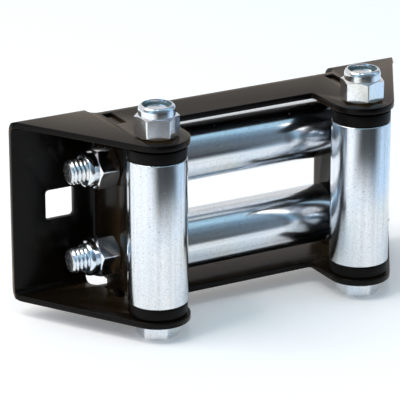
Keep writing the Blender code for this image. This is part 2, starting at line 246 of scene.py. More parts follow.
# %% [markdown]
# ### Zinc plate
# Four scales make the plate: slow drifts of blue and straw, long streaks from drawing
# the tube, a fine speckle of spangles near half a millimetre, and a few scattered pits.
# The group gives out a colour, a roughness and a height, and the material decides how
# strongly to use each.

# %% Zinc plate group
def make_zinc_plate():
    group, start, finish = new_group(
        "zinc plate",
        [("Place", "NodeSocketVector", None),
         ("Silver", "NodeSocketColor", (0.85, 0.86, 0.88, 1)),
         ("Blue", "NodeSocketColor", (0.62, 0.74, 0.92, 1)),
         ("Straw", "NodeSocketColor", (0.9, 0.86, 0.68, 1)),
         ("Drift", "NodeSocketFloat", 0.5), ("Streaks", "NodeSocketFloat", 0.0),
         ("Speckle scale", "NodeSocketFloat", 1000.0), ("Speckle depth", "NodeSocketFloat", 0.2),
         ("Marks", "NodeSocketFloat", 0.5), ("Roughness", "NodeSocketFloat", 0.15)],
        [("Color", "NodeSocketColor"), ("Roughness", "NodeSocketFloat"),
         ("Height", "NodeSocketFloat")])
    place = start.outputs["Place"]
    drawn = add_node(group, "ShaderNodeVectorMath", {0: place, 1: (1.0, 1.0, 0.025)},
                     operation="MULTIPLY").outputs[0]
    slow = add_node(group, "ShaderNodeTexNoise", {"Vector": place, "Scale": 45.0, "Detail": 2.0})
    slower = add_node(group, "ShaderNodeTexNoise",
                      {"Vector": place, "Scale": 27.0, "Detail": 1.0, "Distortion": 0.6})
    streak = add_node(group, "ShaderNodeTexNoise", {"Vector": drawn, "Scale": 520.0, "Detail": 2.5})
    speckle = add_node(group, "ShaderNodeTexNoise",
                       {"Vector": place, "Scale": start.outputs["Speckle scale"], "Detail": 2.0,
                        "Roughness": 0.65})
    pits = add_node(group, "ShaderNodeTexVoronoi", {"Vector": place, "Scale": 420.0})
    chance = add_node(group, "ShaderNodeSeparateColor", {0: pits.outputs["Color"]})
    rare = math_node(group, "GREATER_THAN", chance.outputs[0], 0.92)
    spot = spread(group, pits.outputs["Distance"], 0.06, 0.20, 1.0, 0.0)
    mark = math_node(group, "MULTIPLY", math_node(group, "MULTIPLY", spot, rare),
                     start.outputs["Marks"])
    bluish = math_node(group, "MULTIPLY", spread(group, slow.outputs["Fac"], 0.48, 0.68),
                       start.outputs["Drift"])
    straw = math_node(group, "MULTIPLY", spread(group, slower.outputs["Fac"], 0.55, 0.72),
                      start.outputs["Drift"])
    colour = blend_colours(group, bluish, start.outputs["Silver"], start.outputs["Blue"])
    colour = blend_colours(group, straw, colour, start.outputs["Straw"])
    fleck = spread(group, speckle.outputs["Fac"], 0.52, 0.34)
    line = spread(group, streak.outputs["Fac"], 0.40, 0.66)
    darker = math_node(group, "MULTIPLY", fleck, start.outputs["Speckle depth"])
    darker = math_node(group, "MULTIPLY_ADD", line, start.outputs["Streaks"], darker)
    darker = math_node(group, "MULTIPLY_ADD", mark, 0.6, darker)
    colour = blend_colours(group, darker, colour, (0.20, 0.20, 0.22, 1))
    rough = math_node(group, "MULTIPLY_ADD", fleck, 0.06, start.outputs["Roughness"])
    rough = math_node(group, "MULTIPLY_ADD", mark, 0.3, rough)
    height = math_node(group, "SUBTRACT", speckle.outputs["Fac"],
                       math_node(group, "MULTIPLY", mark, 1.2))
    group.links.new(colour, finish.inputs["Color"])
    group.links.new(rough, finish.inputs["Roughness"])
    group.links.new(height, finish.inputs["Height"])
    return group


ZINC_PLATE = make_zinc_plate()
print("group:", ZINC_PLATE.name)

# %% [markdown]
# ### Surface grain
# Powder coat melts into a skin with shallow waves a millimetre or so long, and
# moulded nylon keeps the fine spark grain of its mould. Both are the same recipe at
# different sizes: waves, a finer grain, and a slow change in gloss.

# %% Surface grain group
def make_grain():
    group, start, finish = new_group(
        "surface grain",
        [("Place", "NodeSocketVector", None),
         ("Wave scale", "NodeSocketFloat", 700.0), ("Grain scale", "NodeSocketFloat", 3000.0),
         ("Grain share", "NodeSocketFloat", 0.3),
         ("Dark", "NodeSocketColor", (0.01, 0.01, 0.01, 1)),
         ("Light", "NodeSocketColor", (0.02, 0.02, 0.02, 1)),
         ("Gloss low", "NodeSocketFloat", 0.2), ("Gloss high", "NodeSocketFloat", 0.3)],
        [("Color", "NodeSocketColor"), ("Roughness", "NodeSocketFloat"),
         ("Height", "NodeSocketFloat")])
    place = start.outputs["Place"]
    waves = add_node(group, "ShaderNodeTexNoise",
                     {"Vector": place, "Scale": start.outputs["Wave scale"], "Detail": 1.5})
    grain = add_node(group, "ShaderNodeTexNoise",
                     {"Vector": place, "Scale": start.outputs["Grain scale"], "Detail": 2.0})
    slow = add_node(group, "ShaderNodeTexNoise", {"Vector": place, "Scale": 60.0, "Detail": 3.0})
    colour = blend_colours(group, spread(group, slow.outputs["Fac"], 0.35, 0.65),
                           start.outputs["Dark"], start.outputs["Light"])
    rough = add_node(group, "ShaderNodeMapRange",
                     {0: slow.outputs["Fac"], 1: 0.35, 2: 0.65,
                      3: start.outputs["Gloss low"], 4: start.outputs["Gloss high"]})
    fine = math_node(group, "MULTIPLY", grain.outputs["Fac"], start.outputs["Grain share"])
    height = math_node(group, "ADD", waves.outputs["Fac"], fine)
    group.links.new(colour, finish.inputs["Color"])
    group.links.new(rough.outputs[0], finish.inputs["Roughness"])
    group.links.new(height, finish.inputs["Height"])
    return group


SURFACE_GRAIN = make_grain()
print("group:", SURFACE_GRAIN.name)

# %% [markdown]
# ## The finishes
# Each finish is a Principled BSDF fed by these groups. What is the same all over a
# surface, such as the sheen or the index of refraction, is typed on the shader. The
# powder coat's warm sheen was set for its look beside the photograph, and isn't a
# measured property of the paint.

# %% Finishes
def new_material(name):
    material = bpy.data.materials.new(name)
    material.use_nodes = True
    tree = material.node_tree
    shader = tree.nodes["Principled BSDF"]
    return material, tree, shader


def use_group(tree, group, values):
    node = tree.nodes.new("ShaderNodeGroup")
    node.node_tree = group
    for key, value in values.items():
        if isinstance(value, bpy.types.NodeSocket):
            tree.links.new(value, node.inputs[key])
        else:
            node.inputs[key].default_value = value
    return node


def feed(tree, shader, effect, bump_distance, bump_strength=1.0):
    """Link a group's colour, roughness and height to a shader."""
    tree.links.new(effect.outputs["Color"], shader.inputs["Base Color"])
    tree.links.new(effect.outputs["Roughness"], shader.inputs["Roughness"])
    bump = add_node(tree, "ShaderNodeBump", {"Strength": bump_strength, "Distance": bump_distance,
                                             "Height": effect.outputs["Height"]})
    tree.links.new(bump.outputs["Normal"], shader.inputs["Normal"])


def object_place(tree):
    return add_node(tree, "ShaderNodeTexCoord").outputs["Object"]


def make_tube_zinc():
    material, tree, shader = new_material("bright zinc tube")
    winding = add_node(tree, "ShaderNodeUVMap", uv_map="wound")
    place = use_group(tree, TUBE_PLACE, {"UV": winding.outputs[0], "Radius": 0.011})
    plate = use_group(tree, ZINC_PLATE, {
        "Place": place.outputs["Place"], "Silver": (0.86, 0.89, 0.93, 1),
        "Blue": (0.74, 0.84, 0.95, 1), "Straw": (0.90, 0.88, 0.78, 1),
        "Drift": 0.5, "Streaks": 0.20, "Speckle scale": 2000.0, "Speckle depth": 0.28,
        "Marks": 0.6, "Roughness": 0.16})
    shader.inputs["Metallic"].default_value = 1.0
    feed(tree, shader, plate, 0.004 * MM, 0.5)
    return material


def make_hardware_zinc(name, silver, blue, straw, drift, roughness):
    material, tree, shader = new_material(name)
    plate = use_group(tree, ZINC_PLATE, {
        "Place": object_place(tree), "Silver": silver, "Blue": blue, "Straw": straw,
        "Drift": drift, "Streaks": 0.0, "Speckle scale": 1500.0, "Speckle depth": 0.22,
        "Marks": 0.4, "Roughness": roughness})
    shader.inputs["Metallic"].default_value = 1.0
    feed(tree, shader, plate, 0.008 * MM, 0.8)
    return material


def make_powder_coat():
    material, tree, shader = new_material("black powder coat")
    grain = use_group(tree, SURFACE_GRAIN, {
        "Place": object_place(tree), "Wave scale": 650.0, "Grain scale": 2600.0,
        "Grain share": 0.2, "Dark": (0.0012, 0.0010, 0.0009, 1), "Light": (0.0030, 0.0024, 0.0021, 1),
        "Gloss low": 0.20, "Gloss high": 0.28})
    shader.inputs["IOR"].default_value = 1.22
    # The orange sheen tint is a painted warm reflection on faces seen at a grazing angle, such as the
    # tops of the flanges.
    shader.inputs["Sheen Weight"].default_value = 0.62
    shader.inputs["Sheen Roughness"].default_value = 0.3
    shader.inputs["Sheen Tint"].default_value = (1.0, 0.55, 0.22, 1)
    feed(tree, shader, grain, 0.012 * MM, 0.6)
    return material


def make_bushing_nylon():
    material, tree, shader = new_material("black nylon")
    grain = use_group(tree, SURFACE_GRAIN, {
        "Place": object_place(tree), "Wave scale": 900.0, "Grain scale": 5200.0,
        "Grain share": 0.8, "Dark": (0.0030, 0.0020, 0.0016, 1), "Light": (0.0050, 0.0034, 0.0028, 1),
        "Gloss low": 0.36, "Gloss high": 0.50})
    shader.inputs["IOR"].default_value = 1.2
    feed(tree, shader, grain, 0.015 * MM, 0.8)
    return material


def make_insert_nylon():
    material, tree, shader = new_material("insert nylon")
    grain = use_group(tree, SURFACE_GRAIN, {
        "Place": object_place(tree), "Wave scale": 1200.0, "Grain scale": 5200.0,
        "Grain share": 0.5, "Dark": (0.06, 0.11, 0.12, 1), "Light": (0.10, 0.17, 0.18, 1),
        "Gloss low": 0.30, "Gloss high": 0.42})
    feed(tree, shader, grain, 0.015 * MM, 0.8)
    return material


FINISHES = {
    "zinc_tube": make_tube_zinc(),
    "zinc_bolt": make_hardware_zinc("zinc bolt", (0.82, 0.82, 0.81, 1), (0.66, 0.77, 0.92, 1),
                                    (0.90, 0.80, 0.56, 1), 0.7, 0.22),
    "zinc_nut": make_hardware_zinc("zinc lock nut", (0.86, 0.88, 0.91, 1), (0.64, 0.78, 0.95, 1),
                                   (0.90, 0.86, 0.70, 1), 0.6, 0.13),
    "powder_coat": make_powder_coat(),
    "black_nylon": make_bushing_nylon(),
    "insert_nylon": make_insert_nylon(),
}
print("finishes:", ", ".join(FINISHES))


def dress(piece, slot, body, *nodes):
    """Give a finished piece its material, its body and the solids that it stands for."""
    piece.data.materials.clear()
    piece.data.materials.append(FINISHES[slot])
    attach(piece, body)
    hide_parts(*nodes)
    return piece


# %% [markdown]
# ## The folded bracket
# The real bracket is laser cut from one sheet, tumbled, folded and powder coated. The
# coat pulls back from every cut edge and leaves it rounded, and those edges carry
# most of its highlights. The solid has the right sheet with sharp edges, so a copy of
# it is merged, its flats are made whole again, and each sharp edge is bevelled.

# %% Bracket
EDGE_ROUND = 0.32 * MM
SHARP = math.radians(50)


def make_bracket():
    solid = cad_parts["bracket"]
    bracket = bpy.data.objects.new("coated_bracket", solid.data.copy())
    bpy.context.collection.objects.link(bracket)
    begin(bracket, "EDGE")
    bpy.ops.mesh.select_all(action="SELECT")
    bpy.ops.mesh.remove_doubles(threshold=TINY / 10)
    bpy.ops.mesh.dissolve_limited(angle_limit=math.radians(1.5))
    sharp = pick(bracket, "EDGE", lambda edge: edge.is_manifold and edge.calc_face_angle() > SHARP)
    bpy.ops.mesh.bevel(offset=EDGE_ROUND, offset_type="OFFSET", segments=3, profile=0.5,
                       clamp_overlap=False, affect="EDGES")
    bpy.ops.object.mode_set(mode="OBJECT")
    smooth(bracket, 36)
    print("bracket: rounded", sharp, "edges,", len(bracket.data.polygons), "faces")
    return dress(bracket, "powder_coat", "frame", "bracket")


bracket = make_bracket()

# %% [markdown]
# ## The roller tubes
# Each roller is a length of drawn tube, faced and chamfered in a lathe, then zinc
# plated. A cylinder is added at its outer size, its ends are inset by the wall and
# bridged to open the bore, and its rims get the lathe's chamfer. A UV map is wound
# round the axis for the plate's streaks.

# %% Roller tubes
TUBE_WALL = 2.2 * MM
TUBE_CHAMFER = 0.4 * MM
BORE_CHAMFER = 0.3 * MM


def wind_uv(piece):
    """U goes once round the Z axis, V goes along it."""
    layer = piece.data.uv_layers.get("wound") or piece.data.uv_layers.new(name="wound")
    piece.data.uv_layers.active = layer
    for face in piece.data.polygons:
        turns = []
        for index in face.loop_indices:
            point = piece.data.vertices[piece.data.loops[index].vertex_index].co
            turns.append(math.atan2(point.y, point.x) / math.tau)
        crosses_seam = max(turns) - min(turns) > 0.5
        for index, turn in zip(face.loop_indices, turns):
            point = piece.data.vertices[piece.data.loops[index].vertex_index].co
            u = turn + 1 if crosses_seam and turn < 0 else turn
            layer.data[index].uv = (u, point.z / UV_LENGTH)


def make_tube(name, radius, length):
    half = length / 2
    bore = radius - TUBE_WALL
    tube = add_cylinder(name, radius, -half, half, sides=128)
    begin(tube)
    pick(tube, "FACE", lambda face: abs(face.normal.z) > 0.9)
    bpy.ops.mesh.inset(thickness=TUBE_WALL, use_individual=True)
    pick(tube, "FACE", lambda face: abs(face.normal.z) > 0.9
         and max(radius_of(v.co) for v in face.verts) < bore + 10 * TINY)
    bpy.ops.mesh.delete(type="ONLY_FACE")
    pick(tube, "EDGE", lambda edge: edge.is_boundary)
    bpy.ops.mesh.bridge_edge_loops()
    for height in (-half, half):
        pick(tube, "EDGE", rim_at(height, radius))
        bpy.ops.mesh.bevel(offset=TUBE_CHAMFER, segments=3, profile=0.5, affect="EDGES")
        pick(tube, "EDGE", rim_at(height, bore, 10 * TINY))
        bpy.ops.mesh.bevel(offset=BORE_CHAMFER, segments=2, profile=0.5, affect="EDGES")
    end(tube)
    wind_uv(tube)
    return smooth(tube)


# %% [markdown]
# ## The flanged bushings
# A bushing is moulded in black nylon: a flange that shows between tube and ear, and a
# spigot pressed into the tube. The flange is added as a cylinder, its inner face is
# inset and extruded to make the spigot, and both ends are inset to open the bore.

# %% Bushings
BUSHING_FLANGE = 4.2 * MM
BUSHING_LENGTH = 13.2 * MM
BUSHING_BORE = 5.05 * MM
SPIGOT_RADIUS = 8.5 * MM


def make_bushing(name, radius):
    bush = add_cylinder(name, radius, 0, BUSHING_FLANGE, sides=96)
    begin(bush)
    pick(bush, "FACE", lambda face: face.normal.z > 0.9)
    bpy.ops.mesh.inset(thickness=radius - SPIGOT_RADIUS)
    bpy.ops.mesh.extrude_region_move(
        TRANSFORM_OT_translate={"value": (0, 0, BUSHING_LENGTH - BUSHING_FLANGE)})
    bpy.ops.mesh.inset(thickness=SPIGOT_RADIUS - BUSHING_BORE)
    bpy.ops.mesh.delete(type="ONLY_FACE")
    pick(bush, "FACE", lambda face: face.normal.z < -0.9)
    bpy.ops.mesh.inset(thickness=radius - BUSHING_BORE)
    bpy.ops.mesh.delete(type="ONLY_FACE")
    pick(bush, "EDGE", lambda edge: edge.is_boundary)
    bpy.ops.mesh.bridge_edge_loops()
    pick(bush, "EDGE", rim_at(0, radius))
    bpy.ops.mesh.bevel(offset=0.6 * MM, segments=4, profile=0.5, affect="EDGES")
    pick(bush, "EDGE", rim_at(BUSHING_FLANGE, radius))
    bpy.ops.mesh.bevel(offset=0.3 * MM, segments=3, profile=0.5, affect="EDGES")
    pick(bush, "EDGE", rim_at(BUSHING_LENGTH, SPIGOT_RADIUS, 10 * TINY))
    bpy.ops.mesh.bevel(offset=0.5 * MM, segments=2, profile=0.5, affect="EDGES")
    end(bush)
    return smooth(bush)


# %% [markdown]
# ## Putting a roller together
# The tube is laid where its solid is. Each bushing stands on the outer face of its own
# solid, with its spigot pointing into the tube. An upright roller keeps the Z axis, and
# a level one is turned a quarter about Y, which sends Z to +X.

# %% Rollers
ROLLERS = {
    "left_upright_roller": ("bottom", "top"),
    "right_upright_roller": ("bottom", "top"),
    "upper_level_roller": ("left", "right"),
    "lower_level_roller": ("left", "right"),
}


def make_roller(body, ends, bush_template):
    low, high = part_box(body + "_tube")
    size = high - low
    middle = (low + high) / 2
    upright = size.z > size.x
    length = size.z if upright else size.x
    radius = size.y / 2
    turn = Matrix() if upright else Matrix.Rotation(math.radians(90), 4, "Y")
    tube = make_tube(body + "_zinc_tube", radius, length)
    settle(tube, Matrix.Translation(middle) @ turn)
    dress(tube, "zinc_tube", body, body + "_tube")
    for where in ends:
        node = f"{body}_{where}_bushing"
        near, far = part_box(node)
        bush = copy_of(bush_template, f"{body}_{where}_moulded_bushing")
        flip = Matrix.Rotation(math.pi, 4, "X") if where in ("top", "right") else Matrix()
        if upright:
            seat = Vector((middle.x, middle.y, far.z if where == "top" else near.z))
        else:
            seat = Vector((far.x if where == "right" else near.x, middle.y, middle.z))
        settle(bush, Matrix.Translation(seat) @ turn @ flip)
        dress(bush, "black_nylon", body, node)
    print(body, "tube", round(length / MM, 1), "mm long,", round(2 * radius / MM, 1), "mm over")


flange_low, flange_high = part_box("left_upright_roller_bottom_bushing")
bush_template = make_bushing("bushing_template", (flange_high.x - flange_low.x) / 2)
for body, ends in ROLLERS.items():
    make_roller(body, ends, bush_template)
bpy.data.objects.remove(bush_template, do_unlink=True)

# %% [markdown]
# ## Hexagons with turned corners
# A bolt head or a nut starts as hexagon bar, and a cone turned on its end leaves the
# curved edges that catch the light on every flat. The same is done here: a six-sided
# cylinder is intersected with a round one whose rims are chamfered at 30 degrees. Its
# six long edges are rounded first, as drawing the bar leaves them.

# %% Hexagons
HEX_FLAT = 14.3 * MM / 2
HEX_CORNER = HEX_FLAT / math.cos(math.radians(30))
RIM_RADIUS = 0.955 * HEX_FLAT
HEX_EDGE = 0.35 * MM


def make_hexagon(name, low, high, chamfer_low, chamfer_high):
    """A hexagon bar with one corner on +X, its chosen ends turned to 30 degrees."""
    bar = add_cylinder(name, HEX_CORNER, low, high, sides=6)
    begin(bar)
    bpy.ops.mesh.select_all(action="SELECT")
    bpy.ops.transform.rotate(value=math.radians(90), orient_axis="Z", center_override=(0, 0, 0))
    pick(bar, "EDGE", lambda edge: abs(edge.verts[0].co.z - edge.verts[1].co.z) > MM)
    bpy.ops.mesh.bevel(offset=HEX_EDGE, segments=3, profile=0.5, affect="EDGES")
    end(bar)
    outer = HEX_CORNER + 0.8 * MM
    slope = (outer - RIM_RADIUS) * math.tan(math.radians(30))
    envelope = add_cylinder("envelope", outer, low - 0.1 * MM * (not chamfer_low),
                            high + 0.1 * MM * (not chamfer_high), sides=96)
    begin(envelope)
    for wanted, height, inward in ((chamfer_low, low, 1), (chamfer_high, high, -1)):
        if not wanted:
            continue
        pick(envelope, "FACE", lambda face: face.normal.z * inward < -0.9)
        bpy.ops.mesh.extrude_region_move(TRANSFORM_OT_translate={"value": (0, 0, 0)})
        shrink = RIM_RADIUS / outer
        bpy.ops.transform.resize(value=(shrink, shrink, 1), center_override=(0, 0, height))
        pick(envelope, "EDGE", rim_at(height, outer))
        bpy.ops.transform.translate(value=(0, 0, inward * slope))
    end(envelope)
    return combine(bar, envelope, "INTERSECT")


# %% [markdown]
# ## Threads
# The thread is rolled: a helix of rounded ridges, 16 to the inch. One ridge is drawn as
# a short zigzag at the thread's radius, and the Screw modifier winds it up the bolt.
# Two bisecting cuts face the ends flat. The entering end gets its point in the next
# step.

# %% Thread
PITCH = 25.4 / 16 * MM
MAJOR = 4.72 * MM
MINOR = 3.92 * MM
THREAD_STEPS = 48


def make_thread(name, low, high):
    """A threaded rod from low to high along Z, cut flat at both ends."""
    turns = math.ceil((high - low) / PITCH) + 3
    bpy.ops.object.select_all(action="DESELECT")
    bpy.ops.mesh.primitive_grid_add(x_subdivisions=1, y_subdivisions=5, size=PITCH,
                                    location=(0, 0, 0))
    rod = bpy.context.object
    rod.name = name
    begin(rod, "VERT")
    pick(rod, "VERT", lambda vert: vert.co.x > 0)
    bpy.ops.mesh.delete(type="VERT")
    bm = bmesh.from_edit_mesh(rod.data)
    ridge = (MINOR, MINOR + 0.08 * MM, MAJOR - 0.08 * MM, MAJOR - 0.08 * MM, MINOR + 0.08 * MM, MINOR)
    rise = (0.0, 0.12, 0.43, 0.57, 0.88, 1.0)
    for vert, radius, share in zip(sorted(bm.verts, key=lambda v: v.co.y), ridge, rise):
        vert.co = (radius, 0, low + (share - 2) * PITCH)
    bmesh.update_edit_mesh(rod.data)
    bpy.ops.object.mode_set(mode="OBJECT")
    winding = rod.modifiers.new("winding", "SCREW")
    winding.screw_offset = PITCH
    winding.iterations = turns
    winding.steps = THREAD_STEPS
    winding.render_steps = THREAD_STEPS
    winding.use_merge_vertices = True
    winding.merge_threshold = TINY / 10
    only(rod)
    bpy.ops.object.modifier_apply(modifier=winding.name)
    begin(rod)
    bpy.ops.mesh.select_all(action="SELECT")
    bpy.ops.mesh.remove_doubles(threshold=TINY)
    bpy.ops.mesh.bisect(plane_co=(0, 0, low), plane_no=(0, 0, 1), clear_inner=True, use_fill=True)
    bpy.ops.mesh.select_all(action="SELECT")
    bpy.ops.mesh.bisect(plane_co=(0, 0, high), plane_no=(0, 0, 1), clear_outer=True, use_fill=True)
    end(rod)
    return rod


# %% [markdown]
# ### Facing a thread's end
# A rolled bolt ends in a short cone, so the last turn of thread runs out on it. The rod
# is intersected with a plain cylinder whose end rim is chamfered, which trims the
# ridges exactly as a lathe would.

# %% Point
POINT = 1.35 * MM


def point_rod(rod, low, high):
    trimmer = add_cylinder("trimmer", MAJOR + 0.3 * MM, low - MM, high - 0.02 * MM, sides=64)
    begin(trimmer)
    pick(trimmer, "EDGE", rim_at(high - 0.02 * MM, MAJOR + 0.3 * MM))
    bpy.ops.mesh.bevel(offset=POINT, segments=1, affect="EDGES")
    pick(trimmer, "EDGE", rim_at(high - 0.02 * MM, MAJOR + 0.3 * MM - POINT, 10 * TINY))
    bpy.ops.mesh.bevel(offset=0.3 * MM, segments=3, affect="EDGES")
    end(trimmer)
    return combine(rod, trimmer, "INTERSECT")


# %% [markdown]
# ## Bolts
# Under the head there is a thin washer face, then a plain shank, then thread. Only the
# last stretch is threaded, as on a standard long bolt. The three are made one solid
# with a Boolean union, with short overlaps so that no two faces coincide.

# %% Bolts
HEAD_HEIGHT = 6.0 * MM
WASHER_FACE = 0.3 * MM
SHANK_RADIUS = 4.75 * MM
THREADED = 20.0 * MM


def make_bolt(name, length):
    """Head below z = 0, shank above, as long as its solid."""
    head = make_hexagon(name, -HEAD_HEIGHT, -WASHER_FACE, True, False)
    washer = add_cylinder("washer_face", 0.94 * HEX_FLAT, -2 * WASHER_FACE, 0, sides=96)
    shank = add_cylinder("shank", SHANK_RADIUS, -3 * WASHER_FACE, length - THREADED, sides=64)
    begin(shank)
    pick(shank, "EDGE", rim_at(length - THREADED, SHANK_RADIUS))
    bpy.ops.mesh.bevel(offset=0.6 * MM, segments=1, affect="EDGES")
    end(shank)
    rod = make_thread("rod", length - THREADED - MM, length)
    rod = point_rod(rod, length - THREADED - 2 * MM, length)
    combine(head, washer, "UNION")
    combine(head, shank, "UNION")
    combine(head, rod, "UNION")
    return smooth(head, 30)


# %% [markdown]
# ## Lock nuts
# The nut's hexagon is turned at both ends. On top stands a round collar whose upper half
# is rolled inwards over a nylon ring: its last face is extruded upwards in short steps,
# each a little smaller, along a quarter of an ellipse. The mouth is cut down as far as
# the ring's groove. The ring is a piece of its own.

# %% Lock nuts
NUT_HEIGHT = 11.6 * MM
NUT_HEX_HEIGHT = 7.9 * MM
COLLAR_RADIUS = 6.7 * MM
COLLAR_ROLL = 2.0 * MM
ROLL_STEPS = 7
MOUTH_RADIUS = 5.35 * MM
MOUTH_DEPTH = 3.4 * MM
NUT_BORE = 5.05 * MM


def make_nut(name):
    nut = make_hexagon(name, 0, NUT_HEX_HEIGHT, True, True)
    wall_top = NUT_HEIGHT - COLLAR_ROLL
    collar = add_cylinder("collar", COLLAR_RADIUS, NUT_HEX_HEIGHT - 1.5 * MM, wall_top, sides=96)
    begin(collar)
    pick(collar, "FACE", lambda face: face.normal.z > 0.9)
    inward = COLLAR_RADIUS - MOUTH_RADIUS - 0.15 * MM
    height, radius = wall_top, COLLAR_RADIUS
    for step in range(1, ROLL_STEPS + 1):
        angle = math.radians(90) * step / ROLL_STEPS
        next_height = wall_top + COLLAR_ROLL * math.sin(angle)
        next_radius = COLLAR_RADIUS - inward * (1 - math.cos(angle))
        bpy.ops.mesh.extrude_region_move(
            TRANSFORM_OT_translate={"value": (0, 0, next_height - height)})
        shrink = next_radius / radius
        bpy.ops.transform.resize(value=(shrink, shrink, 1), center_override=(0, 0, next_height))
        height, radius = next_height, next_radius
    end(collar)
    combine(nut, collar, "UNION")
    bore = add_cylinder("bore", NUT_BORE, -MM, NUT_HEIGHT + MM, sides=64)
    combine(nut, bore, "DIFFERENCE")
    mouth = add_cylinder("mouth", MOUTH_RADIUS, NUT_HEIGHT - MOUTH_DEPTH, NUT_HEIGHT + MM, sides=64)
    combine(nut, mouth, "DIFFERENCE")
    begin(nut)
    pick(nut, "EDGE", rim_at(NUT_HEIGHT, MOUTH_RADIUS))
    bpy.ops.mesh.bevel(offset=0.12 * MM, segments=2, affect="EDGES")
    end(nut)
    return smooth(nut, 30)


RING_HEIGHT = 2.3 * MM
RING_RADIUS = 5.25 * MM
RING_BORE = 4.8 * MM


def make_ring(name):
    """The nylon ring, with the soft lip that its collar squeezed up."""
    ring = add_cylinder(name, RING_RADIUS, 0, RING_HEIGHT, sides=64)
    begin(ring)
    pick(ring, "FACE", lambda face: abs(face.normal.z) > 0.9)
    bpy.ops.mesh.inset(thickness=RING_RADIUS - RING_BORE, use_individual=True)
    pick(ring, "FACE", lambda face: abs(face.normal.z) > 0.9
         and max(radius_of(v.co) for v in face.verts) < RING_BORE + 10 * TINY)
    bpy.ops.mesh.delete(type="ONLY_FACE")
    pick(ring, "EDGE", lambda edge: edge.is_boundary)
    bpy.ops.mesh.bridge_edge_loops()
    pick(ring, "EDGE", lambda edge: all(abs(v.co.z - RING_HEIGHT) < TINY for v in edge.verts)
         and abs(radius_of(edge.verts[0].co) - radius_of(edge.verts[1].co)) < TINY)
    bpy.ops.mesh.bevel(offset=0.2 * MM, segments=2, affect="EDGES")
    end(ring)
    return smooth(ring)


# %% [markdown]
# ## Placing the fasteners
# Each fastener stopped at an angle of its own when it was tightened, given here as the
# angle of one corner. An upright fastener keeps Z as its axis. A level one is turned so
# that its shank points to -X, because the heads are on the right and the nuts on the
# left.

# %% Fasteners
FASTENERS = {
    "left_upright": (True, 26.0, 36.0),
    "right_upright": (True, 31.0, 15.0),
    "upper_level": (False, 20.0, 94.0),
    "lower_level": (False, 48.0, 103.5),
}


def make_fasteners(name, upright, head_corner, nut_corner, templates):
    low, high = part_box(name + "_bolt")
    nut_low, nut_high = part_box(name + "_lock_nut")
    ring_low, ring_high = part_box(name + "_nylon_insert")
    middle = (nut_low + nut_high) / 2
    lay = Matrix() if upright else Matrix.Rotation(math.radians(-90), 4, "Y")
    if upright:
        seats = [Vector((middle.x, middle.y, z)) for z in (low.z + HEAD_HEIGHT, nut_low.z, ring_low.z)]
        length = high.z - low.z - HEAD_HEIGHT
    else:
        seats = [Vector((x, middle.y, middle.z)) for x in (high.x - HEAD_HEIGHT, nut_high.x, ring_high.x)]
        length = high.x - low.x - HEAD_HEIGHT
    if length not in templates:
        templates[length] = make_bolt("bolt_template", length)
    turns = [Matrix.Rotation(math.radians(corner), 4, "Z") for corner in (head_corner, nut_corner, 0)]
    bolt = copy_of(templates[length], name + "_threaded_bolt")
    nut = copy_of(templates["nut"], name + "_plated_nut")
    ring = copy_of(templates["ring"], name + "_nylon_ring")
    for piece, seat, turn in zip((bolt, nut, ring), seats, turns):
        settle(piece, Matrix.Translation(seat) @ lay @ turn)
    dress(bolt, "zinc_bolt", "frame", name + "_bolt")
    dress(nut, "zinc_nut", "frame", name + "_lock_nut")
    dress(ring, "insert_nylon", "frame", name + "_nylon_insert")
    print(name, "bolt", round(length / MM, 1), "mm under the head")


templates = {"nut": make_nut("nut_template"), "ring": make_ring("ring_template")}
for name, (upright, head_corner, nut_corner) in FASTENERS.items():
    make_fasteners(name, upright, head_corner, nut_corner, templates)
for template in templates.values():
    bpy.data.objects.remove(template, do_unlink=True)

# %% [markdown]
# ## A white floor, painted dark in front and blue on the right
# Bright metal shows the floor more than itself: every upright surface of the fairlead
# mirrors the floor around it. The floor is white in the picture. Outside the picture
# it is painted dark in front and pale blue on the right, and the metal mirrors these
# as its dark and cool bands. The camera and the metal see the same floor, so the
# other views show the dark and blue patches too. Light Path lifts the white a little,
# for the camera, the metal and anything clear alike.

# %% Floor
FLOOR_SIZE = 6.0
FLOOR_WHITE = (0.97, 0.97, 0.97, 1)
FLOOR_LIFT = (0.2, 0.2, 0.2, 1)
# A dark patch is painted on the floor in front and a pale blue one on the right, out of the camera's
# view. The metal mirrors them as its dark and cool bands.
FRONT_DARK_FLOOR = (0.06, 0.06, 0.06, 1)
RIGHT_BLUE_FLOOR = (0.6, 0.8, 1.0, 1)
FRONT_DARK_FLOOR_AIM = (0, -1, 0)
FRONT_DARK_FLOOR_EDGE = (0.6, 0.9)        # cosine of the angle from its aim, outside to inside
FRONT_DARK_FLOOR_REACH = (0.12, 0.30)     # metres from the object, bare floor to full dark
RIGHT_BLUE_FLOOR_AIM = (0.876, -0.483, 0)
RIGHT_BLUE_FLOOR_REACH = (0.12, 0.20)


